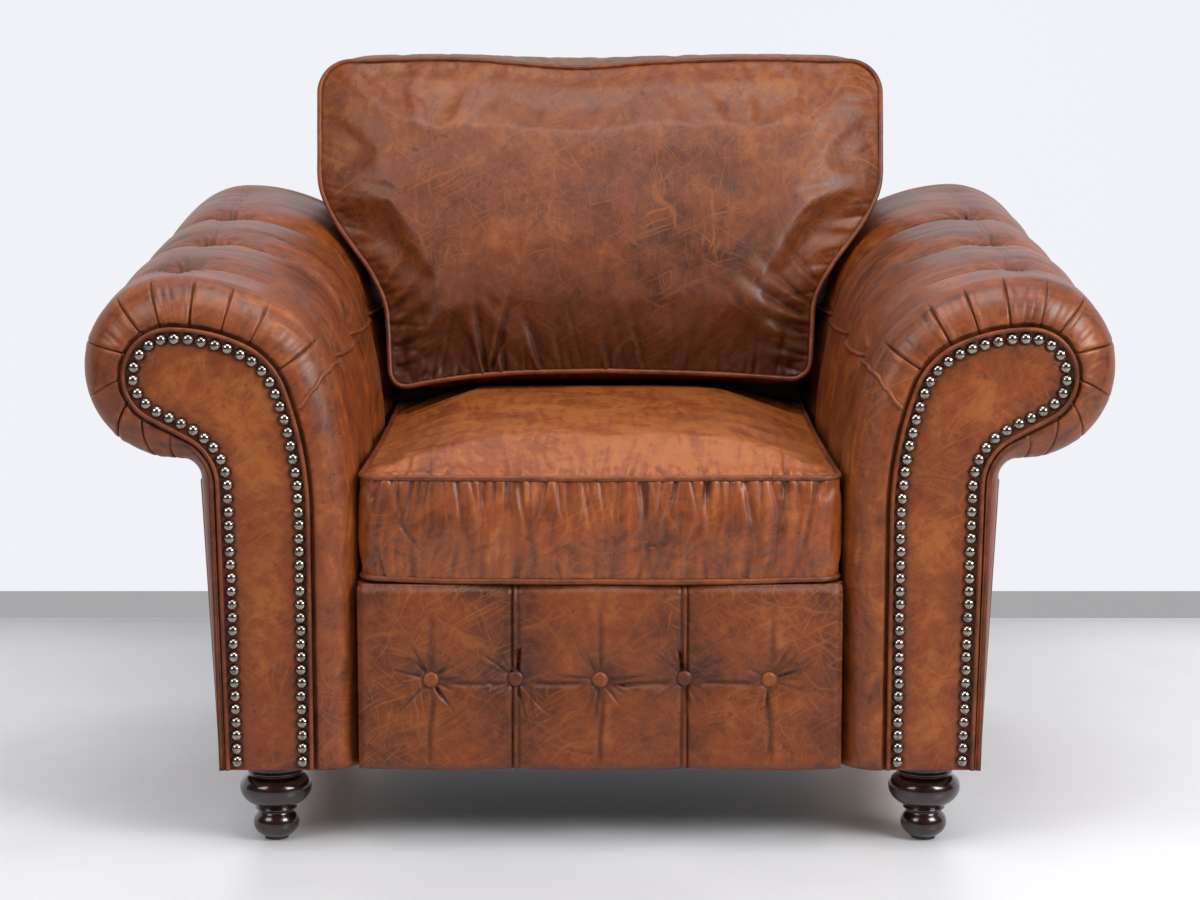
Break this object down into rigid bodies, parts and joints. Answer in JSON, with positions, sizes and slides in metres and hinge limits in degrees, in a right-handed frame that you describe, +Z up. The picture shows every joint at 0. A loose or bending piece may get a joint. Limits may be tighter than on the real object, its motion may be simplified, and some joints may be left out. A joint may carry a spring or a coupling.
{
  "type": "leather armchair",
  "caption": "Rolled-arm leather armchair with loose seat and back cushions, nailed facings, buttoned front border and turned feet.",
  "frame": {"origin": "middle of the footprint on the floor", "axes": "+X to the right in a front view, +Y to the back, +Z up"},
  "size_m": [1.1872, 0.86, 0.9105],
  "materials": {
    "leather": "waxed pull-up leather, satin, with pale scratches",
    "piping": "waxed leather over cord",
    "nail": "polished antique nickel",
    "foam": "upholstery foam and wrap",
    "timber": "planed hardwood and plywood",
    "lining": "woven lining, webbing and felt",
    "steel": "drawn wire and zinc plate",
    "zip": "coil zip and slider",
    "foot": "dark gloss mahogany stain",
    "collar": "black gloss",
    "glide": "nylon glide"
  },
  "bodies": {
    "frame": {"arm_base_board_left": "timber", "arm_base_board_right": "timber", "arm_bolts": "steel", "arm_cover_left": "leather", "arm_cover_right": "leather", "arm_facing_left": "leather", "arm_facing_piping_left": "piping", "arm_facing_piping_right": "piping", "arm_facing_right": "leather", "arm_foam_left": "foam", "arm_foam_right": "foam", "arm_front_board_left": "timber", "arm_front_board_right": "timber", "arm_nails_left": "nail", "arm_nails_right": "nail", "arm_rails_left": "timber", "arm_rails_right": "timber", "arm_rear_board_left": "timber", "arm_rear_board_right": "timber", "back_cross_rails": "timber", "back_post_left": "timber", "back_post_right": "timber", "back_webbing": "lining", "dust_cover": "lining", "foot_bolts": "steel", "foot_collars": "collar", "foot_front_left": "foot", "foot_front_right": "foot", "foot_glides": "glide", "foot_nuts": "steel", "foot_rear_left": "foot", "foot_rear_right": "foot", "frame_corner_blocks": "timber", "frame_front_rail": "timber", "frame_rear_rail": "timber", "front_border": "leather", "front_border_buttons": "leather", "inside_back_pad": "leather", "outside_arm_left": "leather", "outside_arm_right": "leather", "outside_back_panel": "leather", "rear_facing_left": "leather", "rear_facing_right": "leather", "seat_deck": "lining", "seat_side_rail_left": "timber", "seat_side_rail_right": "timber", "seat_spring_clips": "steel", "seat_springs": "steel"},
    "seat_cushion": {"seat_cushion_cover": "leather", "seat_cushion_core": "foam", "seat_cushion_piping": "piping", "seat_cushion_zip": "zip"},
    "back_cushion": {"back_cushion_cover": "leather", "back_cushion_core": "foam", "back_cushion_piping": "piping", "back_cushion_zip": "zip"},
    "seat_zip": {"seat_zip_slider": "zip"},
    "back_zip": {"back_zip_slider": "zip"}
  },
  "joints": [
    {"name": "seat_cushion_slide", "type": "slide", "parent": "frame", "child": "seat_cushion", "axis": [0, -1, 0], "range_m": [0, 0.65]},
    {"name": "back_cushion_lift", "type": "slide", "parent": "frame", "child": "back_cushion", "axis": [0, 0, 1], "range_m": [0, 0.5]},
    {"name": "seat_zip_slide", "type": "slide", "parent": "seat_cushion", "child": "seat_zip", "axis": [1, 0, 0], "range_m": [0, 0.4]},
    {"name": "back_zip_slide", "type": "slide", "parent": "back_cushion", "child": "back_zip", "axis": [1, 0, 0], "range_m": [0, 0.4]}
  ]
}
